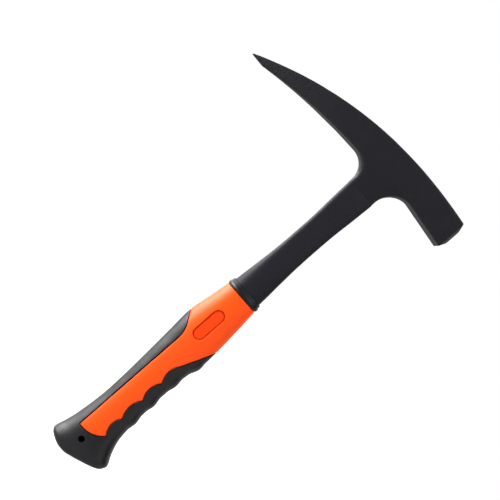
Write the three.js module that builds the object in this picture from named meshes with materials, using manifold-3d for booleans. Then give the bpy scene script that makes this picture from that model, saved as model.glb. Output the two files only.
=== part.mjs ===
// A rock hammer with a pointed pick: a forged head on a tubular steel shank, with a two-material grip.
//
// Millimetres. The handle's axis is +Z and the butt rests on z = 0. The pick points to -X, the poll's
// striking face to +X, and the hammer is alike on both sides of the plane y = 0.

import * as THREE from 'three';
import { mergeVertices } from 'three/addons/utils/BufferGeometryUtils.js';
import Module from 'manifold-3d';

// ---- Driving dimensions ----

const HEIGHT = 300; // butt to the crown of the head
const PICK_REACH = 117; // handle axis to the pick's tip
const POLL_REACH = 62; // handle axis to the striking face
const GAP = 0.3; // between pieces that touch

// Head
const CROWN_X = 14; // the crown's highest point, in front of the handle axis
const PICK_BACK_RADIUS = 281; // arc along the top of the pick
const POLL_BACK_RADIUS = 330; // arc along the top of the poll
const PICK_BELLY_RADIUS = 383; // arc along the underside of the pick
const PICK_BELLY_X = -20; // where that arc is level
const PICK_BELLY_Z = 276.3;
const TIP_BEVEL = 10; // length of the bevel under the tip
const TIP_HEIGHT = 0.7;
const POLL_THROAT = { x: 25, z: 278.7 }; // where the poll's underside leaves the neck's fillet
const POLL_FLARE = 0.115; // fall of the poll's underside per mm towards the face
const FACE_BEVEL = 2.5; // depth of the bevel around the striking face
const FACE_HALF = 5.6; // half the width of the flat in the middle of the striking face

// Neck and its joint with the shank
const NECK_END = 259.5;
const NECK_BACK = 11.2; // handle axis to the neck's pick side
const NECK_FRONT = 10.7; // handle axis to the neck's poll side
const NECK_TOP = 284; // inside the head, where the neck's own body stops
const PICK_FILLET_RADIUS = 14;
const POLL_FILLET_RADIUS = 16.5;
const SPIGOT = { halfX: 7.8, halfY: 5.8, power: 3, root: 253.5, top: 286 };
const SPIGOT_BORE_BOTTOM = 241.5; // where the spigot's bore opens into the shank's
const ADHESIVE_THICKNESS = 0.8;
const SOCKET_TOP = SPIGOT.top + 1.2;

// Shank
const TUBE_WALL = 2;
const TANG = { halfX: 8.3, halfY: 7.8, power: 2.2, bottom: 30, top: 139 };
const END_PLUG = { flange: 3, depth: 12 }; // below and above the tang's end

// Grip
const GRIP_TOP = 155;
const COLLAR_TOP = 160.2;
const SOFT_THICKNESS = 2.6; // the soft cover over the hard core
const HARD_CORE_BOTTOM = 22.5;
const HANG_HOLE = { x: 0.7, z: 15.4, radius: 2 };
const BADGE = { x: -0.5, z: 127, length: 24.5, width: 8, thickness: 1, sunk: 0.4 };
const COLLAR = { halfX: 13.1, halfY: 12.1, power: 2.4 };
const BEYOND = 30; // clear of the grip on every side
const CLEAR = 1; // how far a cutting body runs on past what it cuts

// ---- Shape tools ----

// A smooth curve through a few [position, value] points, read at any position between them.
function profile(points) {
  const slope = (i) => {
    const before = points[Math.max(i - 1, 0)];
    const after = points[Math.min(i + 1, points.length - 1)];
    return (after[1] - before[1]) / (after[0] - before[0]);
  };
  return (position) => {
    const last = points.length - 2;
    let i = points.findIndex((point) => point[0] > position) - 1;
    if (i < 0) {
      i = position <= points[0][0] ? 0 : last;
    }
    const span = points[i + 1][0] - points[i][0];
    const t = THREE.MathUtils.clamp((position - points[i][0]) / span, 0, 1);
    const rise = points[i + 1][1] - points[i][1];
    const start = slope(i) * span - rise;
    const end = rise - slope(i + 1) * span;
    return points[i][1] + t * rise + t * (1 - t) * ((1 - t) * start + t * end);
  };
}

const NEARLY_ZERO = 1e-6;

// A closed body through cross-sections along Z. Each is a superellipse about (x, y): a power of 2 is an
// ellipse, and a higher power squares it up.
function loft(sections, sides) {
  const steps = sections.length - 1;
  const geometry = new THREE.CylinderGeometry(1, 1, steps, sides, steps);
  geometry.rotateX(Math.PI / 2);
  geometry.translate(0, 0, steps / 2);
  const position = geometry.getAttribute('position');
  for (let i = 0; i < position.count; i += 1) {
    const { at, x = 0, y = 0, halfX, halfY, power } = sections[Math.round(position.getZ(i))];
    const squared = (unit) => {
      const size = Math.abs(unit) < NEARLY_ZERO ? 0 : Math.abs(unit);
      return Math.sign(unit) * size ** (2 / power);
    };
    position.setXYZ(i, x + halfX * squared(position.getX(i)), y + halfY * squared(position.getY(i)), at);
  }
  return geometry;
}

// The whole numbers of steps from a to b, as positions.
function spread(a, b, steps) {
  return Array.from({ length: steps + 1 }, (_, i) => a + ((b - a) * i) / steps);
}

const wasm = await Module();
wasm.setup();

function solid(geometry) {
  const bare = geometry.clone();
  bare.deleteAttribute('normal');
  bare.deleteAttribute('uv');
  const merged = mergeVertices(bare, 1e-5);
  const corners = Array.from(merged.index.array);
  const kept = [];
  for (let i = 0; i < corners.length; i += 3) {
    const [a, b, c] = corners.slice(i, i + 3);
    if (a !== b && b !== c && c !== a) {
      kept.push(a, b, c);
    }
  }
  return new wasm.Manifold(
    new wasm.Mesh({
      numProp: 3,
      vertProperties: merged.getAttribute('position').array,
      triVerts: Uint32Array.from(kept),
    }),
  );
}

const hammer = new THREE.Group();

// Adds a sub-part, made of a solid, to the hammer.
function addPart(name, body, material) {
  const mesh = body.getMesh();
  const geometry = new THREE.BufferGeometry();
  geometry.setAttribute('position', new THREE.BufferAttribute(mesh.vertProperties, 3));
  geometry.setIndex(new THREE.BufferAttribute(mesh.triVerts, 1));
  geometry.computeVertexNormals();
  const part = new THREE.Mesh(geometry, new THREE.MeshStandardMaterial(material));
  part.name = name;
  hammer.add(part);
}

// ---- Head: pick, poll and neck in one forging, with a blind socket up into it ----

const HEAD_SIDES = 20;
const NECK_SIDES = 40;
const NECK_POWER = 9;
const HEAD_POWER = 9; // square, with its edges broken

function headTop(x) {
  const radius = x < CROWN_X ? PICK_BACK_RADIUS : POLL_BACK_RADIUS;
  return HEIGHT - radius + Math.sqrt(radius ** 2 - (x - CROWN_X) ** 2);
}

function headBottom(x) {
  if (x > POLL_THROAT.x) {
    return POLL_THROAT.z - POLL_FLARE * (x - POLL_THROAT.x);
  }
  if (x > PICK_BELLY_X) {
    const along = (x - PICK_BELLY_X) / (POLL_THROAT.x - PICK_BELLY_X);
    return THREE.MathUtils.lerp(PICK_BELLY_Z, POLL_THROAT.z, along);
  }
  const belly = (position) => {
    const fall = Math.sqrt(PICK_BELLY_RADIUS ** 2 - (position - PICK_BELLY_X) ** 2) - PICK_BELLY_RADIUS;
    return PICK_BELLY_Z + fall;
  };
  const bevelStart = TIP_BEVEL - PICK_REACH;
  if (x > bevelStart) {
    return belly(x);
  }
  const tip = headTop(-PICK_REACH) - TIP_HEIGHT;
  return THREE.MathUtils.lerp(belly(bevelStart), tip, (bevelStart - x) / TIP_BEVEL);
}

const headHalfThickness = profile([
  [-PICK_REACH, 0.5],
  [-100, 2.8],
  [-60, 7.2],
  [-25, 9.7],
  [0, 10.1],
  [30, 10.3],
  [POLL_REACH - FACE_BEVEL, 11],
]);

function headSection(x) {
  const top = headTop(x);
  const bottom = headBottom(x);
  return {
    at: x,
    y: (top + bottom) / 2,
    halfX: headHalfThickness(x),
    halfY: (top - bottom) / 2,
    power: HEAD_POWER,
  };
}

function makeHeadBar() {
  const bevelStart = TIP_BEVEL - PICK_REACH;
  const stations = [
    ...spread(-PICK_REACH, bevelStart, 3),
    ...spread(bevelStart, PICK_BELLY_X, 8).slice(1),
    ...spread(PICK_BELLY_X, CROWN_X, 3).slice(1),
    ...spread(POLL_THROAT.x, POLL_REACH - FACE_BEVEL, 4),
  ];
  const sections = stations.map(headSection);
  const rim = sections.at(-1);
  sections.push({ ...rim, at: POLL_REACH, halfX: FACE_HALF, halfY: FACE_HALF });
  const bar = loft(sections, HEAD_SIDES);
  const alongX = new THREE.Matrix4().makeBasis(
    new THREE.Vector3(0, 1, 0),
    new THREE.Vector3(0, 0, 1),
    new THREE.Vector3(1, 0, 0),
  );
  return bar.applyMatrix4(alongX);
}

// How far a quarter-round fillet stands out from the neck at height z.
function fillet(z, radius, top) {
  const below = THREE.MathUtils.clamp(top - z, 0, radius);
  return radius - Math.sqrt(radius ** 2 - (radius - below) ** 2);
}

const neckHalfThickness = profile([
  [NECK_END, 9.1],
  [268, 9.5],
  [276, 9.9],
  [NECK_TOP, 10],
]);

// Heights up a fillet, closer together where it turns outwards.
function filletHeights(radius, top) {
  return spread(0, Math.PI / 2, 5).map((turn) => top - radius * (1 - Math.sin(turn)));
}

function makeNeck() {
  const heights = [
    NECK_END,
    ...filletHeights(PICK_FILLET_RADIUS, PICK_BELLY_Z),
    ...filletHeights(POLL_FILLET_RADIUS, POLL_THROAT.z),
    NECK_TOP,
  ];
  heights.sort((a, b) => a - b);
  const rows = heights.filter((z, i) => i === 0 || z - heights[i - 1] > GAP);
  const sections = rows.map((z) => {
    const back = NECK_BACK + fillet(z, PICK_FILLET_RADIUS, PICK_BELLY_Z);
    const front = NECK_FRONT + fillet(z, POLL_FILLET_RADIUS, POLL_THROAT.z);
    return {
      at: z,
      x: (front - back) / 2,
      halfX: (front + back) / 2,
      halfY: neckHalfThickness(z),
      power: NECK_POWER,
    };
  });
  return loft(sections, NECK_SIDES);
}

const TUBE_SIDES = 24;

// The spigot's outline, grown all round, from one height to another.
function spigotBody(grow, bottom, top) {
  const outline = { halfX: SPIGOT.halfX + grow, halfY: SPIGOT.halfY + grow, power: SPIGOT.power };
  return solid(loft([{ at: bottom, ...outline }, { at: top, ...outline }], TUBE_SIDES));
}

const adhesiveInside = GAP;
const adhesiveOutside = adhesiveInside + ADHESIVE_THICKNESS;
const socket = spigotBody(adhesiveOutside + GAP, NECK_END - CLEAR, SOCKET_TOP);
const head = solid(makeHeadBar()).add(solid(makeNeck())).subtract(socket);

addPart('pick_head', head, { color: 0x29292d, roughness: 0.55, metalness: 0.3 });

// ---- Shank: a steel tube, waisted and oval where it shows, with a spigot above and a tang below ----

const shankHalfWidth = profile([
  [GRIP_TOP, 11.7],
  [165, 11.4],
  [178, 10.5],
  [195, 9.6],
  [212, 9.4],
  [228, 9.6],
  [244, 10.4],
  [NECK_END, 11],
]);
const shankHalfThickness = profile([
  [GRIP_TOP, 10.6],
  [178, 9.5],
  [205, 8.5],
  [230, 8.4],
  [NECK_END, 9.1],
]);
const shankPower = profile([
  [GRIP_TOP, 2.4],
  [175, 3.8],
  [205, 7],
  [NECK_END, 9],
]);

// The outside of the tube, grown by some amount, up to its shoulder under the head.
function shankSections(grow, bottom) {
  const shoulder = NECK_END - GAP;
  const visible = spread(GRIP_TOP, shoulder, 14).map((z) => ({
    at: z,
    halfX: shankHalfWidth(z) + grow,
    halfY: shankHalfThickness(z) + grow,
    power: shankPower(z),
  }));
  const tang = { halfX: TANG.halfX + grow, halfY: TANG.halfY + grow, power: TANG.power };
  return [{ at: bottom, ...tang }, { at: TANG.top, ...tang }, ...visible];
}

const tubeBody = solid(loft(shankSections(0, TANG.bottom), TUBE_SIDES));
const tubeBore = solid(loft(shankSections(-TUBE_WALL, TANG.bottom - CLEAR).slice(0, -1), TUBE_SIDES));
const spigot = spigotBody(0, SPIGOT.root, SPIGOT.top);
const spigotBore = spigotBody(-TUBE_WALL, SPIGOT_BORE_BOTTOM, SPIGOT.top + CLEAR);
const shank = tubeBody.add(spigot).subtract(tubeBore).subtract(spigotBore);

addPart('shank_tube', shank, { color: 0x282828, roughness: 0.5, metalness: 0.4 });

const adhesive = spigotBody(adhesiveOutside, NECK_END + CLEAR, SPIGOT.top)
  .subtract(spigotBody(adhesiveInside, NECK_END, SPIGOT.top + CLEAR));
addPart('socket_adhesive', adhesive, { color: 0xb8a870, roughness: 0.4, metalness: 0 });

const headPlug = spigotBody(-TUBE_WALL - GAP, NECK_END, SPIGOT.top);
addPart('head_plug', headPlug, { color: 0xb98a55, roughness: 0.8, metalness: 0 });

// ---- Grip: the outer shape, shared by the hard core and the soft cover ----

const gripBack = profile([
  [0, -9.5],
  [1.2, -12.7],
  [2.6, -15.5],
  [4.6, -17.2],
  [7.6, -17],
  [13.4, -15.6],
  [23, -14],
  [43, -12.5],
  [61, -12.8],
  [79, -13.7],
  [104, -15.3],
  [121, -16.5],
  [130, -16],
  [141, -14.5],
  [GRIP_TOP, -13],
]);
const gripFrontLine = profile([
  [0, 2.5],
  [1.1, 5.5],
  [2.6, 9.9],
  [4.6, 15.4],
  [6.9, 20.9],
  [8.8, 23.9],
  [11.1, 25.4],
  [13.3, 26],
  [15.4, 25.1],
  [19.4, 22.6],
  [25.4, 19.8],
  [32, 17.8],
  [42, 16.5],
  [57, 15.7],
  [74, 15.1],
  [92, 15.5],
  [105, 17.3],
  [117, 16.9],
  [130, 15.9],
  [GRIP_TOP, 13.2],
]);
const gripHalfThickness = profile([
  [0, 9],
  [1.2, 10.8],
  [2.6, 12],
  [5, 13],
  [10, 13.9],
  [18, 13.8],
  [35, 12.7],
  [60, 12],
  [90, 12.4],
  [120, 13.3],
  [140, 12.9],
  [GRIP_TOP, 12],
]);
const FINGER_RIDGES = [46.5, 63.6, 83, 101.5]; // heights of the ridges between the fingers
const RIDGE_HEIGHT = 1;
const RIDGE_HALF_LENGTH = 7;

function gripFront(z) {
  const ridges = FINGER_RIDGES.map((ridge) => {
    const away = Math.min(Math.abs(z - ridge) / RIDGE_HALF_LENGTH, 1);
    return RIDGE_HEIGHT * Math.cos((away * Math.PI) / 2) ** 2;
  });
  return gripFrontLine(z) + Math.max(...ridges);
}

const BUTT_HEIGHTS = [0, 0.5, 1.2, 2.6, 4.6, 6.9, 8.8, 11.1, 13.3, 15.4, 18];
const BUTT_TOP = 21; // above it the rows are evenly spaced
const OUTER_SIDES = 28;
const OUTER_ROWS = 30;
const INNER_SIDES = 20; // surfaces that are hidden inside the grip need fewer
const INNER_ROWS = 12;
const GRIP_POWER = 2.5;

// The grip's outer shape taken inwards by some depth, between two heights.
function gripBody(depth, bottom, top, sides = INNER_SIDES, rows = INNER_ROWS) {
  const above = spread(BUTT_TOP, GRIP_TOP, rows);
  const inside = [...BUTT_HEIGHTS, ...above].filter((z) => z > bottom + GAP / 2 && z < top - GAP / 2);
  const sections = [bottom, ...inside, top].map((z) => {
    const back = gripBack(z) + depth;
    const front = gripFront(z) - depth;
    return {
      at: z,
      x: (front + back) / 2,
      halfX: (front - back) / 2,
      halfY: gripHalfThickness(z) - depth,
      power: GRIP_POWER,
    };
  });
  return solid(loft(sections, sides));
}

// ---- The window: the outline, seen from either side, inside which the hard core shows ----

const WINDOW_BACK_X = -7.2;
const WINDOW_BOTTOM = 20.9;
const WINDOW_PEAKS = [[9.5, 28.3], [8.1, 43.8], [8, 61.7], [7.8, 78.6]]; // between the scallops
const SCALLOP_DEPTH = 2.8;
const WINDOW_FRONT = { bend: [2.4, 86.6], throat: [7.2, 94.7], edge: [16.9, 119.2], top: 134 };
const WINDOW_PALM = {
  throatZ: 105.4,
  bendZ: 111.8,
  shoulder: [-9.9, 116.3],
  edge: [-16.8, 125.6],
  top: 143,
};
const WINDOW_BOTTOM_BEND_X = 4;

function windowShape(grow) {
  const { bend, throat, edge } = WINDOW_FRONT;
  const { shoulder } = WINDOW_PALM;
  const [firstX, firstZ] = WINDOW_PEAKS[0];
  const back = WINDOW_BACK_X - grow;
  const bottom = WINDOW_BOTTOM - grow;
  const shape = new THREE.Shape();
  shape.moveTo(back, bottom);
  shape.quadraticCurveTo(WINDOW_BOTTOM_BEND_X, bottom, firstX + grow, firstZ - grow);
  WINDOW_PEAKS.slice(1).forEach(([x, z], i) => {
    const [lowX, lowZ] = WINDOW_PEAKS[i];
    const valley = (x + lowX) / 2 + grow - 2 * SCALLOP_DEPTH;
    shape.quadraticCurveTo(valley, (z + lowZ) / 2, x + grow, z);
  });
  shape.quadraticCurveTo(bend[0] + grow, bend[1], throat[0] + grow, throat[1]);
  shape.lineTo(edge[0] + grow, edge[1]);
  shape.lineTo(BEYOND, WINDOW_FRONT.top);
  shape.lineTo(BEYOND, GRIP_TOP + BEYOND);
  shape.lineTo(-BEYOND, GRIP_TOP + BEYOND);
  shape.lineTo(-BEYOND, WINDOW_PALM.top);
  shape.lineTo(WINDOW_PALM.edge[0] - grow, WINDOW_PALM.edge[1]);
  shape.lineTo(shoulder[0] - grow, shoulder[1]);
  shape.quadraticCurveTo(back, WINDOW_PALM.bendZ, back, WINDOW_PALM.throatZ);
  shape.closePath();
  return shape;
}

// A shape drawn in the side view, made into a prism through the grip.
function sidePrism(shape, curveSegments) {
  const depth = 2 * BEYOND;
  const geometry = new THREE.ExtrudeGeometry(shape, { depth, curveSegments, bevelEnabled: false });
  geometry.translate(0, 0, -depth / 2);
  geometry.rotateX(Math.PI / 2);
  return solid(geometry);
}

function stadium(x, z, length, width) {
  const half = length / 2 - width / 2;
  const shape = new THREE.Shape();
  shape.absarc(x, z + half, width / 2, 0, Math.PI, false);
  shape.absarc(x, z - half, width / 2, Math.PI, 2 * Math.PI, false);
  shape.closePath();
  return shape;
}

const gripShape = gripBody(0, 0, GRIP_TOP - GAP, OUTER_SIDES, OUTER_ROWS);
const boreClearance = solid(loft(shankSections(GAP, TANG.bottom - END_PLUG.flange), TUBE_SIDES));
const hardUnderlay = gripBody(SOFT_THICKNESS + GAP, HARD_CORE_BOTTOM, GRIP_TOP - GAP);
// The grip's shape taken inwards, over the height of the badge and a little more.
function gripUnderBadge(depth, more) {
  const reach = BADGE.length / 2 + more;
  return gripBody(depth, BADGE.z - reach, BADGE.z + reach);
}

const recessFloor = gripUnderBadge(BADGE.sunk + BADGE.thickness + GAP, 2 * CLEAR);
const recess = sidePrism(stadium(BADGE.x, BADGE.z, BADGE.length, BADGE.width), 8).subtract(recessFloor);
const core = gripShape
  .intersect(sidePrism(windowShape(0), 5))
  .add(hardUnderlay)
  .subtract(recess)
  .subtract(boreClearance);

addPart('grip_core', core, { color: 0xfa5f1c, roughness: 0.35, metalness: 0 });

const hangCircle = new THREE.Shape().absarc(HANG_HOLE.x, HANG_HOLE.z, HANG_HOLE.radius, 0, 2 * Math.PI);
const hangHole = sidePrism(hangCircle, 10);
const softCover = gripShape
  .subtract(sidePrism(windowShape(GAP), 5))
  .subtract(gripBody(SOFT_THICKNESS, HARD_CORE_BOTTOM - GAP, GRIP_TOP + GAP))
  .subtract(hangHole);

addPart('soft_grip', softCover, { color: 0x26262a, roughness: 0.75, metalness: 0 });

// The badges lie in the recesses on both sides and follow the grip's curve.
const badgeOutline = stadium(BADGE.x, BADGE.z, BADGE.length - 2 * GAP, BADGE.width - 2 * GAP);
const badges = sidePrism(badgeOutline, 8)
  .intersect(gripUnderBadge(BADGE.sunk, 2 * CLEAR))
  .subtract(gripUnderBadge(BADGE.sunk + BADGE.thickness, 3 * CLEAR));
const [badgeA, badgeB] = badges.decompose();
const nearFirst = badgeA.boundingBox().min[1] < badgeB.boundingBox().min[1];
const badgeMaterial = { color: 0xf0510f, roughness: 0.45, metalness: 0 };
addPart('badge_near', nearFirst ? badgeA : badgeB, badgeMaterial);
addPart('badge_far', nearFirst ? badgeB : badgeA, badgeMaterial);

// ---- Collar: a ring with a small lip, where the shank enters the grip ----

const COLLAR_SIDES = 32;

// Height, and how far the ring stands out from its plain outline there
const COLLAR_PROFILE = [
  [GRIP_TOP, 0.05],
  [GRIP_TOP + 0.7, 0.3],
  [GRIP_TOP + 2.8, 0.2],
  [GRIP_TOP + 3.3, -0.3],
  [GRIP_TOP + 3.8, -0.3],
  [COLLAR_TOP - 0.9, -0.4],
  [COLLAR_TOP, -1],
];
const collarBody = solid(
  loft(
    COLLAR_PROFILE.map(([z, out]) => ({
      at: z,
      halfX: COLLAR.halfX + out,
      halfY: COLLAR.halfY + out,
      power: COLLAR.power,
    })),
    COLLAR_SIDES,
  ),
);
const collar = collarBody.subtract(boreClearance);
addPart('collar_ring', collar, { color: 0x303136, roughness: 0.5, metalness: 0 });

// ---- Plug in the tube's lower end ----

const plugFlange = { halfX: TANG.halfX, halfY: TANG.halfY, power: TANG.power };
const plugStem = {
  halfX: TANG.halfX - TUBE_WALL - GAP,
  halfY: TANG.halfY - TUBE_WALL - GAP,
  power: TANG.power,
};
const endPlug = solid(
  loft(
    [
      { at: TANG.bottom - END_PLUG.flange + GAP, ...plugFlange },
      { at: TANG.bottom - GAP, ...plugFlange },
      { at: TANG.bottom - GAP, ...plugStem },
      { at: TANG.bottom + END_PLUG.depth, ...plugStem },
    ],
    TUBE_SIDES,
  ),
);
addPart('tube_end_plug', endPlug, { color: 0x1c1c1e, roughness: 0.6, metalness: 0 });

export default hammer;
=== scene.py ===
"""Looks for the rock hammer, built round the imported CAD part.

The frame is the CAD's: metres, +Z up the handle from the butt, the pick towards -X and the poll towards
+X. Shapes here are worked in millimetres and turned into metres when a mesh is made.
"""

import math

import bpy
import numpy as np
from mathutils import Matrix, Vector, noise


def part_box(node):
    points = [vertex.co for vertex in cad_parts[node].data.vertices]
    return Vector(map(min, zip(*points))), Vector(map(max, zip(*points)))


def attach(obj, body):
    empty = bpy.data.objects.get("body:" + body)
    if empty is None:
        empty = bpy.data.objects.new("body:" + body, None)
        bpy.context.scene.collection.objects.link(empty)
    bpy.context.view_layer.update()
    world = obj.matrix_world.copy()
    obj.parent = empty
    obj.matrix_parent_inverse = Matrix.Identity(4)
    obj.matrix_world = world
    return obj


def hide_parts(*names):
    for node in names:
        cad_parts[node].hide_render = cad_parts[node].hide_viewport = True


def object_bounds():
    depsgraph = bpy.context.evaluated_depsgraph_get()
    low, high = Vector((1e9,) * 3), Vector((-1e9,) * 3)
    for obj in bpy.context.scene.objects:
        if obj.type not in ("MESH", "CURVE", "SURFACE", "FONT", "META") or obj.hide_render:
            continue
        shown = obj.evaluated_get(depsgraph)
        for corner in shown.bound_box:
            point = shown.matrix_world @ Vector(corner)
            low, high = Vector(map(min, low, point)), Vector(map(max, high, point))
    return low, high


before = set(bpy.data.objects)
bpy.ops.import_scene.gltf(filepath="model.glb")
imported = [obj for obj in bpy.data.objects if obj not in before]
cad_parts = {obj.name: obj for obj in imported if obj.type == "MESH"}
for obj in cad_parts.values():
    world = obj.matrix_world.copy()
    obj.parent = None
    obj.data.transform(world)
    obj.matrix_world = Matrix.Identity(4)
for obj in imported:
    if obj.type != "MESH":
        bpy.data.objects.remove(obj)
cad_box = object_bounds()

MM = 0.001
BODY = "root"


def box_mm(node):
    """A CAD node's lowest and highest corners, in millimetres."""
    low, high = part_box(node)
    return np.array(low) / MM, np.array(high) / MM


# ---- Sizes, from the frame and from the same driving dimensions as the CAD ----

head_low, head_high = box_mm("pick_head")
collar_low, collar_high = box_mm("collar_ring")
badge_low, badge_high = box_mm("badge_near")
tube_low, tube_high = box_mm("shank_tube")
adhesive_high = box_mm("socket_adhesive")[1]

GAP = 0.3
TIP_X = -117.2  # 0.2 mm past the CAD's tip
FACE_X = head_high[0]
CROWN_Z = head_high[2]
NECK_END = head_low[2]
GRIP_TOP = collar_low[2]
COLLAR_TOP = collar_high[2]
TUBE_BOTTOM = tube_low[2]
SPIGOT_TOP = tube_high[2]

CROWN_X = 14
PICK_BACK_RADIUS = 281
POLL_BACK_RADIUS = 330
PICK_BELLY_RADIUS = 383
PICK_BELLY_X = -20
PICK_BELLY_Z = 276.3
TIP_BEVEL = 10
TIP_HEIGHT = 0.9
POLL_THROAT_X = 25
POLL_THROAT_Z = 278.7
POLL_FLARE = 0.115
FACE_BEVEL = 2.5
FACE_HALF = 5.6
FACE_BULGE = (0.4, -0.3)  # how far the last two sections differ from the flat's half width
NECK_BACK = 11.2
NECK_FRONT = 10.7
PICK_FILLET_RADIUS = 14
POLL_FILLET_RADIUS = 16.5
TUBE_WALL = 2
TANG_HALF = (8.3, 7.8)
SPIGOT_HALF = (7.8, 5.8)
SOFT_THICKNESS = 2.6
HARD_CORE_BOTTOM = 22.5
SEAM = 0.45  # half the groove where the soft cover meets the orange core


# ---- Shape tools ----


def profile(points):
    """A smooth curve through a few (position, value) points, read at any positions."""
    at, value = np.array(points, float).T
    slope = np.gradient(value, at)
    slope[1:-1] = (value[2:] - value[:-2]) / (at[2:] - at[:-2])

    def read(position):
        position = np.clip(position, at[0], at[-1])
        i = np.clip(np.searchsorted(at, position, side="right") - 1, 0, len(at) - 2)
        span = at[i + 1] - at[i]
        rise = value[i + 1] - value[i]
        t = (position - at[i]) / span
        start = slope[i] * span - rise
        end = rise - slope[i + 1] * span
        return value[i] + t * rise + t * (1 - t) * ((1 - t) * start + t * end)

    return read


def mesh_object(name, vertices, faces):
    """A mesh object from vertices in millimetres."""
    mesh = bpy.data.meshes.new(name)
    mesh.from_pydata((np.asarray(vertices) * MM).tolist(), [], faces)
    mesh.validate()
    piece = bpy.data.objects.new(name, mesh)
    bpy.context.scene.collection.objects.link(piece)
    return piece


def skin(name, rings):
    """A closed body through rings of points, given as an array of (ring, point, xyz)."""
    count, sides = rings.shape[:2]
    index = np.arange(count * sides).reshape(count, sides)
    around = np.roll(index, -1, axis=1)
    quads = np.stack([index[:-1], around[:-1], around[1:], index[1:]], -1).reshape(-1, 4)
    caps = [index[0][::-1].tolist(), index[-1].tolist()]
    return mesh_object(name, rings.reshape(-1, 3), quads.tolist() + caps)


def superellipse(power, sides):
    """Points round a unit superellipse, for each of a column of powers, as (power, point, xy)."""
    angle = np.linspace(0, 2 * np.pi, sides, endpoint=False)
    unit = np.stack([np.cos(angle), np.sin(angle)], -1)
    unit[np.abs(unit) < 1e-9] = 0
    power = np.asarray(power, float).reshape(-1, 1, 1)
    return np.sign(unit) * np.abs(unit) ** (2 / power)


def upright(name, heights, low_x, high_x, half_y, power, sides):
    """A closed body along Z, with superellipse sections between low_x and high_x."""
    heights = np.asarray(heights, float)
    unit = superellipse(np.broadcast_to(power, heights.shape), sides)
    rings = np.empty((len(heights), sides, 3))
    rings[:, :, 0] = ((high_x + low_x) / 2)[:, None] + ((high_x - low_x) / 2)[:, None] * unit[:, :, 0]
    rings[:, :, 1] = np.broadcast_to(half_y, heights.shape)[:, None] * unit[:, :, 1]
    rings[:, :, 2] = heights[:, None]
    return skin(name, rings)


def applied(piece):
    """Turns a piece's modifiers into its mesh."""
    bpy.context.view_layer.update()
    graph = bpy.context.evaluated_depsgraph_get()
    mesh = bpy.data.meshes.new_from_object(piece.evaluated_get(graph))
    old = piece.data
    piece.modifiers.clear()
    piece.data = mesh
    bpy.data.meshes.remove(old)
    return piece


def combine(piece, other, operation):
    """Joins or cuts a piece with another, which is used up."""
    change = piece.modifiers.new("combine", "BOOLEAN")
    change.operation = operation
    change.solver = "MANIFOLD"
    change.object = other
    applied(piece)
    bpy.data.objects.remove(other)
    return piece


def even_out(piece, voxel, passes, strength=0.5):
    """Remakes a piece as an even mesh and rounds its edges."""
    remesh = piece.modifiers.new("remesh", "REMESH")
    remesh.mode = "VOXEL"
    remesh.voxel_size = voxel * MM
    remesh.use_smooth_shade = True
    soften = piece.modifiers.new("soften", "SMOOTH")
    soften.factor = strength
    soften.iterations = passes
    applied(piece)
    piece.data.shade_smooth()
    return piece


def roughen(piece, size, depth):
    """Moves a surface in and out by a smooth noise of a given size and depth, in millimetres."""
    mesh = piece.data
    count = len(mesh.vertices)
    place = np.empty(count * 3, np.float32)
    normal = np.empty(count * 3, np.float32)
    mesh.vertices.foreach_get("co", place)
    mesh.vertices.foreach_get("normal", normal)
    place = place.reshape(-1, 3)
    sample = place / (size * MM)
    push = np.array([noise.noise(Vector(point)) for point in sample])
    place += normal.reshape(-1, 3) * (push * depth * MM)[:, None]
    mesh.vertices.foreach_set("co", place.ravel())
    mesh.update()


def prism(name, outline, half_depth):
    """A closed body from an outline of (x, z) points, from -half_depth to half_depth in Y."""
    outline = np.asarray(outline, float)
    rings = np.empty((2, len(outline), 3))
    rings[:, :, 0] = outline[:, 0]
    rings[:, :, 2] = outline[:, 1]
    rings[0, :, 1] = half_depth
    rings[1, :, 1] = -half_depth
    return skin(name, rings)


def bend(start, control, end, steps):
    """Points along a quadratic curve, without its first point."""
    t = np.linspace(0, 1, steps + 1)[1:, None]
    start, control, end = (np.array(point, float) for point in (start, control, end))
    return ((1 - t) ** 2 * start + 2 * t * (1 - t) * control + t**2 * end).tolist()


def stadium(x, z, length, width, steps=24):
    """A stadium outline, upright, about (x, z)."""
    half = (length - width) / 2
    angle = np.linspace(0, np.pi, steps + 1)
    top = np.stack([x + width / 2 * np.cos(angle), z + half + width / 2 * np.sin(angle)], -1)
    bottom = np.stack([x - width / 2 * np.cos(angle), z - half - width / 2 * np.sin(angle)], -1)
    return np.concatenate([top, bottom])


# ---- Materials ----


def nodes_of(name):
    """A new material, with its node tree, its shader and a small helper that adds nodes."""
    material = bpy.data.materials.new(name)
    material.use_nodes = True
    tree = material.node_tree
    shader = tree.nodes["Principled BSDF"]

    def add(kind, **settings):
        node = tree.nodes.new(kind)
        for key, value in settings.items():
            if key in node.inputs:
                node.inputs[key].default_value = value
            else:
                setattr(node, key, value)
        return node

    return material, tree.links, shader, add


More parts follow.
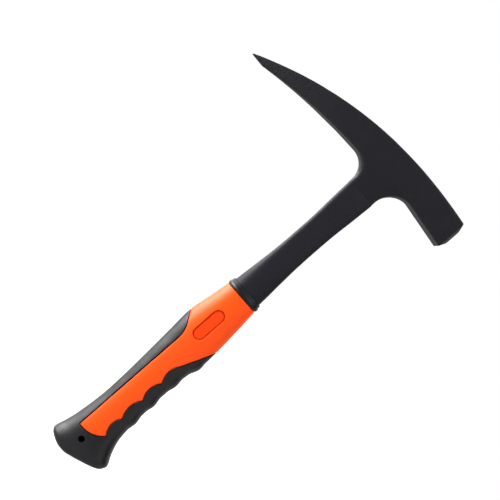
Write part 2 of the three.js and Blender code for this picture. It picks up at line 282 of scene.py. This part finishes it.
def finish_material(name, tones, roughness, grain, bump, specular=0.5, edge_wear_and_highlight=None):
    """A moulded or coated surface: cloudy tone, uneven gloss, fine grain, and lighter sharp edges, partly
    worn paint and partly a painted highlight.

    tones is a dark and a light colour; roughness is its lowest and highest value; grain is the sizes of the
    coarse and fine bump in millimetres; bump is their depth in millimetres; the last argument is the colour
    of the lighter edges, part wear and part painted highlight.
    """
    material, links, shader, add = nodes_of(name)
    place = add("ShaderNodeTexCoord").outputs["Object"]
    cloud = add("ShaderNodeTexNoise", Scale=1 / (18 * MM), Detail=4.0, Roughness=0.6)
    links.new(place, cloud.inputs["Vector"])
    tone = add("ShaderNodeMix", data_type="RGBA")
    tone.inputs["A"].default_value = (*tones[0], 1)
    tone.inputs["B"].default_value = (*tones[1], 1)
    links.new(cloud.outputs["Fac"], tone.inputs["Factor"])
    colour = tone.outputs["Result"]

    coarse = add("ShaderNodeTexNoise", Scale=1 / (grain[0] * MM), Detail=3.0)
    fine = add("ShaderNodeTexNoise", Scale=1 / (grain[1] * MM), Detail=2.0)
    links.new(place, coarse.inputs["Vector"])
    links.new(place, fine.inputs["Vector"])

    gloss = add("ShaderNodeMapRange")
    gloss.inputs["From Min"].default_value = 0.3
    gloss.inputs["From Max"].default_value = 0.7
    gloss.inputs["To Min"].default_value = roughness[0]
    gloss.inputs["To Max"].default_value = roughness[1]
    links.new(coarse.outputs["Fac"], gloss.inputs["Value"])
    links.new(gloss.outputs["Result"], shader.inputs["Roughness"])

    first = add("ShaderNodeBump", Distance=bump[0] * MM, Strength=1.0)
    second = add("ShaderNodeBump", Distance=bump[1] * MM, Strength=1.0)
    links.new(coarse.outputs["Fac"], first.inputs["Height"])
    links.new(fine.outputs["Fac"], second.inputs["Height"])
    links.new(first.outputs["Normal"], second.inputs["Normal"])
    links.new(second.outputs["Normal"], shader.inputs["Normal"])

    # painted highlight: sharp edges are lightened towards a grey, part paint wear and part a highlight
    # painted into the colour
    if edge_wear_and_highlight:
        edge = add("ShaderNodeNewGeometry").outputs["Pointiness"]
        broken = add("ShaderNodeTexNoise", Scale=1 / (2.5 * MM), Detail=5.0)
        links.new(place, broken.inputs["Vector"])
        amount = add("ShaderNodeMapRange")
        amount.inputs["From Min"].default_value = 0.57
        amount.inputs["From Max"].default_value = 0.65
        links.new(edge, amount.inputs["Value"])
        patchy = add("ShaderNodeMath", operation="MULTIPLY")
        links.new(amount.outputs["Result"], patchy.inputs[0])
        links.new(broken.outputs["Fac"], patchy.inputs[1])
        worn_and_highlit = add("ShaderNodeMix", data_type="RGBA")
        worn_and_highlit.inputs["B"].default_value = (*edge_wear_and_highlight, 1)
        links.new(patchy.outputs["Value"], worn_and_highlit.inputs["Factor"])
        links.new(colour, worn_and_highlit.inputs["A"])
        colour = worn_and_highlit.outputs["Result"]

    links.new(colour, shader.inputs["Base Color"])
    shader.inputs["Specular IOR Level"].default_value = specular
    return material


def grey(value, blue=1.0):
    return (value, value, value * blue)


# its sharp edges are lightened, part paint wear and part painted highlight
head_coat = finish_material(
    "head_coat", (grey(0.005, 1.4), grey(0.0075, 1.4)), (0.46, 0.54), (1.6, 0.35), (0.015, 0.006),
    specular=0.22, edge_wear_and_highlight=grey(0.03, 1.1),
)
shank_coat = finish_material(
    "shank_coat", (grey(0.009, 1.4), grey(0.012, 1.4)), (0.48, 0.56), (1.4, 0.3), (0.03, 0.01),
    specular=0.14,
)
soft_rubber = finish_material(
    "soft_rubber", (grey(0.003, 1.4), grey(0.005, 1.4)), (0.36, 0.44), (0.7, 0.22), (0.04, 0.02),
    specular=0.38,
)
collar_rubber = finish_material(
    "collar_rubber", (grey(0.004, 1.4), grey(0.007, 1.4)), (0.34, 0.42), (0.9, 0.25), (0.03, 0.012),
    specular=0.26,
)
orange_plastic = finish_material(
    "orange_plastic", ((0.94, 0.068, 0.001), (0.98, 0.077, 0.002)), (0.4, 0.48), (1.2, 0.25), (0.02, 0.008),
    specular=0.23,
)
badge_plastic = finish_material(
    "badge_plastic", ((0.74, 0.042, 0.001), (0.82, 0.052, 0.001)), (0.5, 0.62), (1.1, 0.3), (0.25, 0.05),
    specular=0.14,
)
epoxy = finish_material(
    "epoxy", ((0.45, 0.38, 0.16), (0.5, 0.43, 0.2)), (0.25, 0.4), (2.0, 0.5), (0.05, 0.01),
)
plug_plastic = finish_material(
    "plug_plastic", (grey(0.011), grey(0.016)), (0.5, 0.6), (1.0, 0.3), (0.03, 0.012),
)


def shade_hanging_hole(material, x, z, radius):
    """Takes the gloss off a moulded hole along Y, so that its wall reflects nothing and the hole reads dark:
    painted shade.
    """
    tree = material.node_tree
    shader = tree.nodes["Principled BSDF"]
    place = tree.nodes.new("ShaderNodeTexCoord").outputs["Object"]
    flat = tree.nodes.new("ShaderNodeVectorMath")
    flat.operation = "MULTIPLY"
    flat.inputs[1].default_value = (1, 0, 1)
    tree.links.new(place, flat.inputs[0])
    away = tree.nodes.new("ShaderNodeVectorMath")
    away.operation = "DISTANCE"
    away.inputs[1].default_value = (x * MM, 0, z * MM)
    tree.links.new(flat.outputs["Vector"], away.inputs[0])
    gloss = tree.nodes.new("ShaderNodeMapRange")
    gloss.inputs["From Min"].default_value = (radius + 0.1) * MM
    gloss.inputs["From Max"].default_value = (radius + 0.5) * MM
    gloss.inputs["To Max"].default_value = shader.inputs["Specular IOR Level"].default_value
    tree.links.new(away.outputs["Value"], gloss.inputs["Value"])
    tree.links.new(gloss.outputs["Result"], shader.inputs["Specular IOR Level"])


def make_wood():
    """Straight-grained hardwood, its rings stretched along Z."""
    material, links, shader, add = nodes_of("plug_wood")
    place = add("ShaderNodeTexCoord").outputs["Object"]
    stretch = add("ShaderNodeMapping")
    stretch.inputs["Scale"].default_value = (1, 1, 0.08)
    links.new(place, stretch.inputs["Vector"])
    grain = add("ShaderNodeTexNoise", Scale=1 / (0.9 * MM), Detail=6.0, Distortion=0.6)
    links.new(stretch.outputs["Vector"], grain.inputs["Vector"])
    ramp = add("ShaderNodeValToRGB")
    ramp.color_ramp.elements[0].position = 0.35
    ramp.color_ramp.elements[0].color = (0.33, 0.17, 0.07, 1)
    ramp.color_ramp.elements[1].position = 0.65
    ramp.color_ramp.elements[1].color = (0.55, 0.34, 0.17, 1)
    links.new(grain.outputs["Fac"], ramp.inputs["Fac"])
    links.new(ramp.outputs["Color"], shader.inputs["Base Color"])
    bump = add("ShaderNodeBump", Distance=0.05 * MM, Strength=1.0)
    links.new(grain.outputs["Fac"], bump.inputs["Height"])
    links.new(bump.outputs["Normal"], shader.inputs["Normal"])
    shader.inputs["Roughness"].default_value = 0.7
    return material


def dress(piece, node, material):
    """Makes a new piece stand for a CAD node, with its finish."""
    piece.data.materials.clear()
    piece.data.materials.append(material)
    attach(piece, BODY)
    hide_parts(node)


# ---- The shank's section, which the neck blends into ----

shank_half_width = profile([
    (GRIP_TOP, 11.7),
    (165, 11.4),
    (178, 10.5),
    (195, 9.6),
    (212, 9.4),
    (228, 9.6),
    (244, 10.4),
    (NECK_END, 11),
])
shank_half_thickness = profile([
    (GRIP_TOP, 10.6),
    (178, 9.5),
    (205, 8.5),
    (230, 8.4),
    (NECK_END, 9.1),
])
shank_power = profile([(GRIP_TOP, 2.4), (175, 3.8), (205, 7), (NECK_END, 9)])

# ---- Head ----

HEAD_VOXEL = 0.42
EDGE_RADIUS = 1.1  # broken edges of the forging
LOWER_EDGE_RADIUS = 1.6  # and the rounder edges of its underside
MOST_ROUNDED = 0.45  # the largest edge radius, as a share of a section's smaller half size
FORGED_LUMPS = ((9, 0.08), (2.2, 0.012))  # size and depth of the forging's unevenness
PICK_STEP = 1.2
POLL_STEP = 2
LAST_SECTION = 0.15  # how far the last section but one is from the face


def head_top(x):
    radius = np.where(x < CROWN_X, PICK_BACK_RADIUS, POLL_BACK_RADIUS)
    return CROWN_Z - radius + np.sqrt(radius**2 - (x - CROWN_X) ** 2)


def head_bottom(x):
    def belly(at):
        across = np.minimum(np.abs(at - PICK_BELLY_X), PICK_BELLY_RADIUS)
        return PICK_BELLY_Z - PICK_BELLY_RADIUS + np.sqrt(PICK_BELLY_RADIUS**2 - across**2)

    bevel_start = TIP_X + TIP_BEVEL
    along = (x - PICK_BELLY_X) / (POLL_THROAT_X - PICK_BELLY_X)
    middle = PICK_BELLY_Z + along * (POLL_THROAT_Z - PICK_BELLY_Z)
    poll = POLL_THROAT_Z - POLL_FLARE * (x - POLL_THROAT_X)
    tip = head_top(np.array(TIP_X)) - TIP_HEIGHT
    bevel = belly(bevel_start) + (tip - belly(bevel_start)) * (bevel_start - x) / TIP_BEVEL
    return np.select(
        [x > POLL_THROAT_X, x > PICK_BELLY_X, x > bevel_start], [poll, middle, belly(x)], bevel
    )


head_half_thickness = profile([
    (TIP_X, 0.6),
    (-100, 2.8),
    (-60, 7.2),
    (-25, 9.7),
    (0, 10.1),
    (30, 10.3),
    (FACE_X - FACE_BEVEL, 11),
])


def rounded_rectangle(half_a, half_b, upper_radius, lower_radius, straight=12, corner=6):
    """Points round a rectangle with round corners, for columns of sizes, as (ring, point, ab)."""
    angle = np.linspace(0, np.pi / 2, corner + 1)
    quarters = []
    for turn, (sign_a, sign_b) in enumerate(((1, 1), (-1, 1), (-1, -1), (1, -1))):
        radius = upper_radius if sign_b > 0 else lower_radius
        a = sign_a * (half_a - radius)[:, None] + radius[:, None] * np.cos(angle + turn * np.pi / 2)
        b = sign_b * (half_b - radius)[:, None] + radius[:, None] * np.sin(angle + turn * np.pi / 2)
        quarters.append(np.stack([a, b], -1))
    points = []
    for turn, quarter in enumerate(quarters):
        following = quarters[(turn + 1) % 4]
        step = np.linspace(0, 1, straight + 1)[1:-1, None]
        side = quarter[:, -1:, :] + step * (following[:, :1, :] - quarter[:, -1:, :])
        points += [quarter, side]
    return np.concatenate(points, axis=1)


def head_bar():
    """The pick and poll: one bar along X with a rounded-rectangle section."""
    x = np.concatenate([
        np.arange(TIP_X, PICK_BELLY_X, PICK_STEP),
        np.arange(PICK_BELLY_X, FACE_X - FACE_BEVEL - 1, POLL_STEP),
        [FACE_X - FACE_BEVEL],
    ])
    top = head_top(x)
    bottom = head_bottom(x)
    half_y = head_half_thickness(x)
    middle = (top + bottom) / 2
    half_z = (top - bottom) / 2
    face = [FACE_HALF + bulge for bulge in FACE_BULGE]
    x = np.append(x, [FACE_X - LAST_SECTION, FACE_X])
    middle = np.append(middle, [middle[-1]] * 2)
    half_z = np.append(half_z, face)
    half_y = np.append(half_y, face)
    most = MOST_ROUNDED * np.minimum(half_z, half_y)
    upper = np.minimum(EDGE_RADIUS, most)
    lower = np.minimum(LOWER_EDGE_RADIUS, most)
    section = rounded_rectangle(half_y, half_z, upper, lower)
    rings = np.empty((len(x), section.shape[1], 3))
    rings[:, :, 0] = x[:, None]
    rings[:, :, 1] = section[:, :, 0]
    rings[:, :, 2] = middle[:, None] + section[:, :, 1]
    return skin("head_bar", rings)


def fillet(z, radius, top):
    """How far a fillet of the neck stands out at a height, under the head's underside at top."""
    below = np.clip(top - z, 0, radius)
    return radius - np.sqrt(radius**2 - (radius - below) ** 2)


NECK_TOPS = (284, 290)  # sections inside the bar, where the neck is joined to it
neck_half_thickness = profile([
    (NECK_END, 9.1),
    (268, 9.5),
    (276, 9.95),
    (NECK_TOPS[0], 10.05),
    (NECK_TOPS[1], 10.05),
])
SKIRT = 3  # how far the skirt goes down
SKIRT_SUNK = 0.35  # and how far inside the shank's surface
neck_power = profile([(NECK_END, 9), (268, 7.5), (276, 8), (NECK_TOPS[1], 9)])


def neck():
    """The neck and its fillets, with a skirt that sinks into the shank so that the coated joint is closed."""
    z = np.append(np.arange(NECK_END, POLL_THROAT_Z, 0.5), [POLL_THROAT_Z, *NECK_TOPS])
    back = NECK_BACK + fillet(z, PICK_FILLET_RADIUS, PICK_BELLY_Z)
    front = NECK_FRONT + fillet(z, POLL_FILLET_RADIUS, POLL_THROAT_Z)
    half_y = neck_half_thickness(z)
    skirt = shank_half_width(NECK_END - SKIRT) - SKIRT_SUNK
    z = np.append(NECK_END - SKIRT, z)
    back = np.append(skirt, back)
    front = np.append(skirt, front)
    half_y = np.append(shank_half_thickness(NECK_END - SKIRT) - SKIRT_SUNK, half_y)
    return upright("neck", z, -back, front, half_y, neck_power(z), 96)


def spigot_body(name, grow, bottom, top, sides=64):
    """The spigot's outer shape grown all round, between two heights."""
    z = np.array([bottom, top], float)
    half_x = np.full(2, SPIGOT_HALF[0] + grow)
    return upright(name, z, -half_x, half_x, SPIGOT_HALF[1] + grow, 3, sides)


SOCKET_END_ROOM = 1.2  # above the spigot
SOCKET_CUT = 5  # how far the cutter starts below the neck, so that it opens the socket

socket_grow = adhesive_high[0] - SPIGOT_HALF[0] + GAP
head = combine(head_bar(), neck(), "UNION")
head.name = "pick_head_forging"
socket = spigot_body("socket", socket_grow, NECK_END - SOCKET_CUT, SPIGOT_TOP + SOCKET_END_ROOM)
combine(head, socket, "DIFFERENCE")
even_out(head, HEAD_VOXEL, 3)
for lump_size, lump_depth in FORGED_LUMPS:
    roughen(head, lump_size, lump_depth)
dress(head, "pick_head", head_coat)

# ---- Shank ----

SHANK_VOXEL = 0.5
LAP = 3  # how far the shank runs on, unseen, inside the neck
LAP_INSET = 0.3
CONE_LENGTH = 16  # from the straight tang to the shank
TANG_POWER = 2.2
SPIGOT_ROOT = 6  # where the spigot starts, below the neck's end
BORE_END = 8  # where the shank's wide bore ends and
SPIGOT_BORE_START = 18  # the spigot's bore starts, below the neck's end, so that the two join
CUT_PAST = 1  # how far a bore's cutter runs past the end


def shank_body(name, grow, bottom, top, sides=96):
    """The outside of the tube, grown all round: a straight tang, a cone, then the waisted shank."""
    z = np.concatenate([[bottom, GRIP_TOP - CONE_LENGTH], np.arange(GRIP_TOP, top, 1.0), [top]])
    inset = np.where(z > NECK_END, LAP_INSET, 0)
    tang = z < GRIP_TOP
    half_x = np.where(tang, TANG_HALF[0], shank_half_width(z)) + grow - inset
    half_y = np.where(tang, TANG_HALF[1], shank_half_thickness(z)) + grow - inset
    power = np.where(tang, TANG_POWER, shank_power(z))
    return upright(name, z, -half_x, half_x, half_y, power, sides)


shank = shank_body("shank_tube_coated", 0, TUBE_BOTTOM, NECK_END + LAP)
combine(shank, spigot_body("spigot", 0, NECK_END - SPIGOT_ROOT, SPIGOT_TOP), "UNION")
bore = shank_body("bore", -TUBE_WALL, TUBE_BOTTOM - CUT_PAST, NECK_END - BORE_END)
combine(shank, bore, "DIFFERENCE")
spigot_bore = spigot_body("spigot_bore", -TUBE_WALL, NECK_END - SPIGOT_BORE_START, SPIGOT_TOP + CUT_PAST)
combine(shank, spigot_bore, "DIFFERENCE")
even_out(shank, SHANK_VOXEL, 3)
dress(shank, "shank_tube", shank_coat)

# ---- Grip ----

grip_back = profile([
    (0, -9.5),
    (1.2, -12.7),
    (2.6, -15.5),
    (4.6, -17.2),
    (7.6, -17),
    (13.4, -15.6),
    (23, -14),
    (43, -12.5),
    (61, -12.8),
    (79, -13.7),
    (104, -15.3),
    (121, -16.5),
    (130, -16),
    (141, -14.5),
    (GRIP_TOP, -13),
])
grip_front_line = profile([
    (0, 2.5),
    (1.1, 5.5),
    (2.6, 9.9),
    (4.6, 15.4),
    (6.9, 20.9),
    (8.8, 23.9),
    (11.1, 25.4),
    (13.3, 26),
    (15.4, 25.1),
    (19.4, 22.6),
    (25.4, 19.8),
    (32, 17.8),
    (42, 16.5),
    (57, 15.7),
    (74, 15.1),
    (92, 15.5),
    (105, 17.3),
    (117, 16.9),
    (130, 15.9),
    (GRIP_TOP, 13.2),
])
grip_half_thickness = profile([
    (0, 9),
    (1.2, 10.8),
    (2.6, 12),
    (5, 13),
    (10, 13.9),
    (18, 13.8),
    (35, 12.7),
    (60, 12),
    (90, 12.4),
    (120, 13.3),
    (140, 12.9),
    (GRIP_TOP, 12),
])
FINGER_RIDGES = (46.5, 63.6, 83, 101.5)
RIDGE_HEIGHT = 1
RIDGE_HALF_LENGTH = 7
GRIP_POWER = 2.5
GRIP_STEP = 0.6
GRIP_VOXEL = 0.42


def grip_front(z):
    """The finger side's line with its ridges, at given heights."""
    away = np.abs(np.asarray(z)[:, None] - np.array(FINGER_RIDGES)) / RIDGE_HALF_LENGTH
    ridges = RIDGE_HEIGHT * np.cos(np.minimum(away, 1) * np.pi / 2) ** 2
    return grip_front_line(z) + ridges.max(axis=1)


def grip_body(name, depth, bottom, top, sides=144):
    """The grip's outer shape taken inwards by some depth, between two heights."""
    z = np.append(np.arange(bottom, top, GRIP_STEP), top)
    low_x = grip_back(z) + depth
    high_x = grip_front(z) - depth
    return upright(name, z, low_x, high_x, grip_half_thickness(z) - depth, GRIP_POWER, sides)


WINDOW_BACK_X = -7.2
WINDOW_BOTTOM = 20.9
WINDOW_PEAKS = ((9.5, 28.3), (8.1, 43.8), (8, 61.7), (7.8, 78.6))
SCALLOP_DEPTH = 2.8
BEYOND = 30  # past the grip on every side


def window_outline(grow):
    """The outline, in the side view, inside which the orange core shows."""
    back = WINDOW_BACK_X - grow
    bottom = WINDOW_BOTTOM - grow
    peaks = [(x + grow, z) for x, z in WINDOW_PEAKS]
    corner = (peaks[0][0], peaks[0][1] - grow)
    points = [(back, bottom)]
    points += bend(points[-1], (4, bottom), corner, 16)
    for x, z in peaks[1:]:
        low_x, low_z = points[-1]
        valley = ((x + low_x) / 2 - 2 * SCALLOP_DEPTH, (z + low_z) / 2)
        points += bend(points[-1], valley, (x, z), 20)
    points += bend(points[-1], (2.4 + grow, 86.6), (7.2 + grow, 94.7), 20)
    points += [(16.9 + grow, 119.2), (BEYOND, 134), (BEYOND, GRIP_TOP + BEYOND)]
    points += [(-BEYOND, GRIP_TOP + BEYOND), (-BEYOND, 143), (-16.8 - grow, 125.6), (-9.9 - grow, 116.3)]
    points += bend(points[-1], (back, 111.8), (back, 105.4), 16)
    return points


BADGE_X = (badge_low[0] + badge_high[0]) / 2
BADGE_Z = (badge_low[2] + badge_high[2]) / 2
BADGE_LENGTH = badge_high[2] - badge_low[2]
BADGE_WIDTH = badge_high[0] - badge_low[0]
BADGE_SUNK = 0.6
BADGE_FLOOR = 2
BADGE_ROOM = 1.5  # how much longer and wider the recess is
BADGE_VOXEL = 0.2
BADGE_BAND = (100, 150)  # heights that the recess lies well inside
BADGE_SIDE = (90, 160)  # and those of the block that keeps one side
CORE_BORE_PAST = 3  # how far the core's bore goes below the tube

core = grip_body("grip_core_orange", 0, 0, GRIP_TOP - GAP)
combine(core, prism("window", window_outline(0), BEYOND), "INTERSECT")
underlay = grip_body("underlay", SOFT_THICKNESS + GAP, HARD_CORE_BOTTOM, GRIP_TOP - GAP)
combine(core, underlay, "UNION")
recess_outline = stadium(BADGE_X, BADGE_Z, BADGE_LENGTH + BADGE_ROOM, BADGE_WIDTH + BADGE_ROOM)
recess = prism("recess", recess_outline, BEYOND)
combine(recess, grip_body("recess_floor", BADGE_FLOOR, *BADGE_BAND), "DIFFERENCE")
combine(core, recess, "DIFFERENCE")
combine(core, shank_body("core_bore", GAP, TUBE_BOTTOM - CORE_BORE_PAST, NECK_END), "DIFFERENCE")
even_out(core, GRIP_VOXEL, 3)
dress(core, "grip_core", orange_plastic)

HOLE_X = 0.7
HOLE_Z = 15.4
HOLE_RADIUS = 2
# painted shade: the hanging hole's wall reflects nothing, so the hole reads dark
shade_hanging_hole(soft_rubber, HOLE_X, HOLE_Z, HOLE_RADIUS)

soft = grip_body("soft_grip_cover", 0, 0, GRIP_TOP - GAP)
combine(soft, prism("opening", window_outline(SEAM), BEYOND), "DIFFERENCE")
inside = grip_body("inside", SOFT_THICKNESS, HARD_CORE_BOTTOM - GAP, GRIP_TOP + GAP)
combine(soft, inside, "DIFFERENCE")
hole = prism("hole", stadium(HOLE_X, HOLE_Z, 2 * HOLE_RADIUS, 2 * HOLE_RADIUS), BEYOND)
combine(soft, hole, "DIFFERENCE")
even_out(soft, GRIP_VOXEL, 2)
dress(soft, "soft_grip", soft_rubber)


def make_badge(side, node):
    """One plain label plate in its recess, on the -Y side for side -1 and the +Y side for side 1."""
    outline = stadium(BADGE_X, BADGE_Z, BADGE_LENGTH, BADGE_WIDTH)
    plate = prism(f"{node}_plate", outline, BEYOND)
    low_z, high_z = BADGE_SIDE
    block = [(-BEYOND, low_z), (BEYOND, low_z), (BEYOND, high_z), (-BEYOND, high_z)]
    half = prism("half", block, BEYOND)
    for vertex in half.data.vertices:
        vertex.co.y += side * BEYOND * MM
    combine(plate, half, "INTERSECT")
    top = grip_body("badge_top", BADGE_SUNK, BADGE_BAND[0] + 1, BADGE_BAND[1] - 1)
    combine(plate, top, "INTERSECT")
    combine(plate, grip_body("badge_floor", BADGE_FLOOR - GAP, *BADGE_BAND), "DIFFERENCE")
    even_out(plate, BADGE_VOXEL, 2)
    dress(plate, node, badge_plastic)


make_badge(-1, "badge_near")
make_badge(1, "badge_far")

# ---- Collar ----

COLLAR_HALF = (13.1, 12.1)
COLLAR_POWER = 2.4
COLLAR_VOXEL = 0.22
COLLAR_BORE_BOTTOM = 140  # well below the ring


def make_collar():
    """The ring with its small upper lip, round the shank."""
    out = profile([
        (GRIP_TOP, -0.1),
        (GRIP_TOP + 0.5, 0.25),
        (GRIP_TOP + 1.5, 0.35),
        (GRIP_TOP + 2.7, 0.2),
        (GRIP_TOP + 3.2, -0.4),
        (GRIP_TOP + 3.6, -0.45),
        (GRIP_TOP + 4.0, -0.2),
        (COLLAR_TOP - 0.6, -0.35),
        (COLLAR_TOP, -1.1),
    ])
    z = np.linspace(GRIP_TOP, COLLAR_TOP, 40)
    half_x = COLLAR_HALF[0] + out(z)
    half_y = COLLAR_HALF[1] + out(z)
    ring = upright("collar_ring_moulded", z, -half_x, half_x, half_y, COLLAR_POWER, 192)
    combine(ring, shank_body("collar_bore", GAP, COLLAR_BORE_BOTTOM, NECK_END), "DIFFERENCE")
    even_out(ring, COLLAR_VOXEL, 1)
    dress(ring, "collar_ring", collar_rubber)


make_collar()

# ---- Hidden CAD pieces keep their shape and get their own finish ----

for node, material in (
    ("socket_adhesive", epoxy),
    ("head_plug", make_wood()),
    ("tube_end_plug", plug_plastic),
):
    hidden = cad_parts[node]
    hidden.data.materials.clear()
    hidden.data.materials.append(material)

# ---- Camera, at the photographed viewing angle: along +Y, rolled so that the hammer lies diagonally ----

AIM_SHIFT = np.array([7.5, 0, 29.7])  # from the middle of the CAD's box to the middle of the picture

low, high = (np.array(corner) for corner in cad_box)
AIM = (low + high) / 2 + AIM_SHIFT * MM
AIM[1] = 0
CAMERA_DISTANCE = 0.75
ROLL = math.radians(41.1)  # the handle's slope in the picture
SENSOR = 36
FRAME_WIDTH = 0.32915  # what the picture spans, at the near face of the head
NEAR_FACE = 0.0086

camera_data = bpy.data.cameras.new("camera")
camera_data.sensor_width = SENSOR
camera_data.lens = SENSOR * (CAMERA_DISTANCE - NEAR_FACE) / FRAME_WIDTH
camera_data.clip_end = 20
camera = bpy.data.objects.new("camera", camera_data)
bpy.context.scene.collection.objects.link(camera)
right = Vector((math.sin(ROLL), 0, math.cos(ROLL)))
up = Vector((-math.cos(ROLL), 0, math.sin(ROLL)))
turn = Matrix((right, up, Vector((0, -1, 0)))).transposed()
camera.matrix_world = Matrix.Translation(AIM - np.array([0, CAMERA_DISTANCE, 0])) @ turn.to_4x4()
bpy.context.scene.camera = camera

# ---- Floor and light ----

FLOOR_GLOW = 0.95  # a lit white table, as the camera sees it
FLOOR_BOUNCE = 0.2  # and as the hammer does
DIM = 0.04  # the studio as the hammer sees it, on the camera's side
BRIGHT = 4.4  # and behind the hammer, to the left and below
RIM = 0.9  # and behind it to the right
FLOOR_HALF = 20
LIGHT_AIM = (0, 0, 0.15)  # half way up the hammer
SOFTBOXES = (
    # name, place, size and radiance
    ("left_softbox", (-1.0, -0.05, 0.2), (1.0, 1.0), 17.0),
    ("front_left", (-0.95, -0.7, 0.3), (0.4, 0.6), 3.5),
    ("overhead_front", (0.4, -0.8, 1.3), (0.9, 0.6), 6.0),
    ("overhead_right", (0.9, -0.5, 1.3), (0.8, 0.6), 6.0),
    ("right_fill", (1.0, -0.8, 0.2), (1.0, 1.0), 0.9),
)


def make_floor():
    """A pale floor that glows white to the camera and lights the hammer less."""
    half = FLOOR_HALF
    mesh = bpy.data.meshes.new("floor")
    corners = [(-half, -half, 0), (half, -half, 0), (half, half, 0), (-half, half, 0)]
    mesh.from_pydata(corners, [], [(0, 1, 2, 3)])
    floor = bpy.data.objects.new("floor", mesh)
    floor.location.z = float(low[2]) - 0.0002
    bpy.context.scene.collection.objects.link(floor)
    material, links, shader, add = nodes_of("pale_floor")
    place = add("ShaderNodeTexCoord").outputs["Object"]
    speckle = add("ShaderNodeTexNoise", Scale=40.0, Detail=3.0)
    links.new(place, speckle.inputs["Vector"])
    tone = add("ShaderNodeMix", data_type="RGBA")
    tone.inputs["A"].default_value = (0.36, 0.36, 0.36, 1)
    tone.inputs["B"].default_value = (0.39, 0.39, 0.39, 1)
    links.new(speckle.outputs["Fac"], tone.inputs["Factor"])
    links.new(tone.outputs["Result"], shader.inputs["Base Color"])
    shader.inputs["Roughness"].default_value = 0.9
    shader.inputs["Specular IOR Level"].default_value = 0.1
    shader.inputs["Emission Color"].default_value = (1, 1, 1, 1)
    glow = add("ShaderNodeMapRange")
    glow.inputs["To Min"].default_value = FLOOR_BOUNCE
    glow.inputs["To Max"].default_value = FLOOR_GLOW
    links.new(add("ShaderNodeLightPath").outputs["Is Camera Ray"], glow.inputs["Value"])
    links.new(glow.outputs["Result"], shader.inputs["Emission Strength"])
    mesh.materials.append(material)


def make_light(name, place, aim, size, radiance):
    """A rectangular softbox, as bright as its radiance says whatever its size."""
    light = bpy.data.lights.new(name, "AREA")
    light.shape = "RECTANGLE"
    light.size, light.size_y = size
    light.energy = radiance * math.pi * size[0] * size[1]
    lamp = bpy.data.objects.new(name, light)
    lamp.location = place
    lamp.rotation_euler = (Vector(aim) - Vector(place)).to_track_quat("-Z", "Y").to_euler()
    bpy.context.scene.collection.objects.link(lamp)


def make_world():
    """A white surround to the camera. To the hammer it is dim, but for the part behind it, below and to the
    left, and a weaker rim behind it to the right.
    """
    world = bpy.data.worlds.new("studio")
    bpy.context.scene.world = world
    world.use_nodes = True
    tree = world.node_tree
    background = tree.nodes["Background"]
    background.inputs["Color"].default_value = (1, 1, 1, 1)
    direction = tree.nodes.new("ShaderNodeTexCoord").outputs["Generated"]

    def glow(towards, start, end):
        """Rises from 0 to 1 as the direction turns towards a given one."""
        turned = tree.nodes.new("ShaderNodeVectorMath")
        turned.operation = "DOT_PRODUCT"
        turned.inputs[1].default_value = towards
        tree.links.new(direction, turned.inputs[0])
        rise = tree.nodes.new("ShaderNodeMapRange")
        rise.interpolation_type = "SMOOTHSTEP"
        rise.inputs["From Min"].default_value = start
        rise.inputs["From Max"].default_value = end
        tree.links.new(turned.outputs["Value"], rise.inputs["Value"])
        return rise.outputs["Result"]

    both = tree.nodes.new("ShaderNodeMath")
    both.operation = "MULTIPLY"
    tree.links.new(glow((0, 1, 0), -0.05, 0.75), both.inputs[0])
    tree.links.new(glow((-0.8, 0, -0.6), 0.0, 0.22), both.inputs[1])
    rim = tree.nodes.new("ShaderNodeMapRange")
    rim.inputs["To Min"].default_value = DIM
    rim.inputs["To Max"].default_value = RIM
    tree.links.new(glow((0.6, 0.8, 0), 0.8, 1.0), rim.inputs["Value"])
    surround = tree.nodes.new("ShaderNodeMapRange")
    surround.inputs["To Max"].default_value = BRIGHT
    tree.links.new(rim.outputs["Result"], surround.inputs["To Min"])
    tree.links.new(both.outputs["Value"], surround.inputs["Value"])
    path = tree.nodes.new("ShaderNodeLightPath")
    level = tree.nodes.new("ShaderNodeMapRange")
    level.inputs["To Max"].default_value = 1.0
    tree.links.new(path.outputs["Is Camera Ray"], level.inputs["Value"])
    tree.links.new(surround.outputs["Result"], level.inputs["To Min"])
    tree.links.new(level.outputs["Result"], background.inputs["Strength"])


make_floor()
make_world()
for name, place, size, radiance in SOFTBOXES:
    make_light(name, place, LIGHT_AIM, size, radiance)

bpy.context.scene.view_settings.view_transform = "Standard"
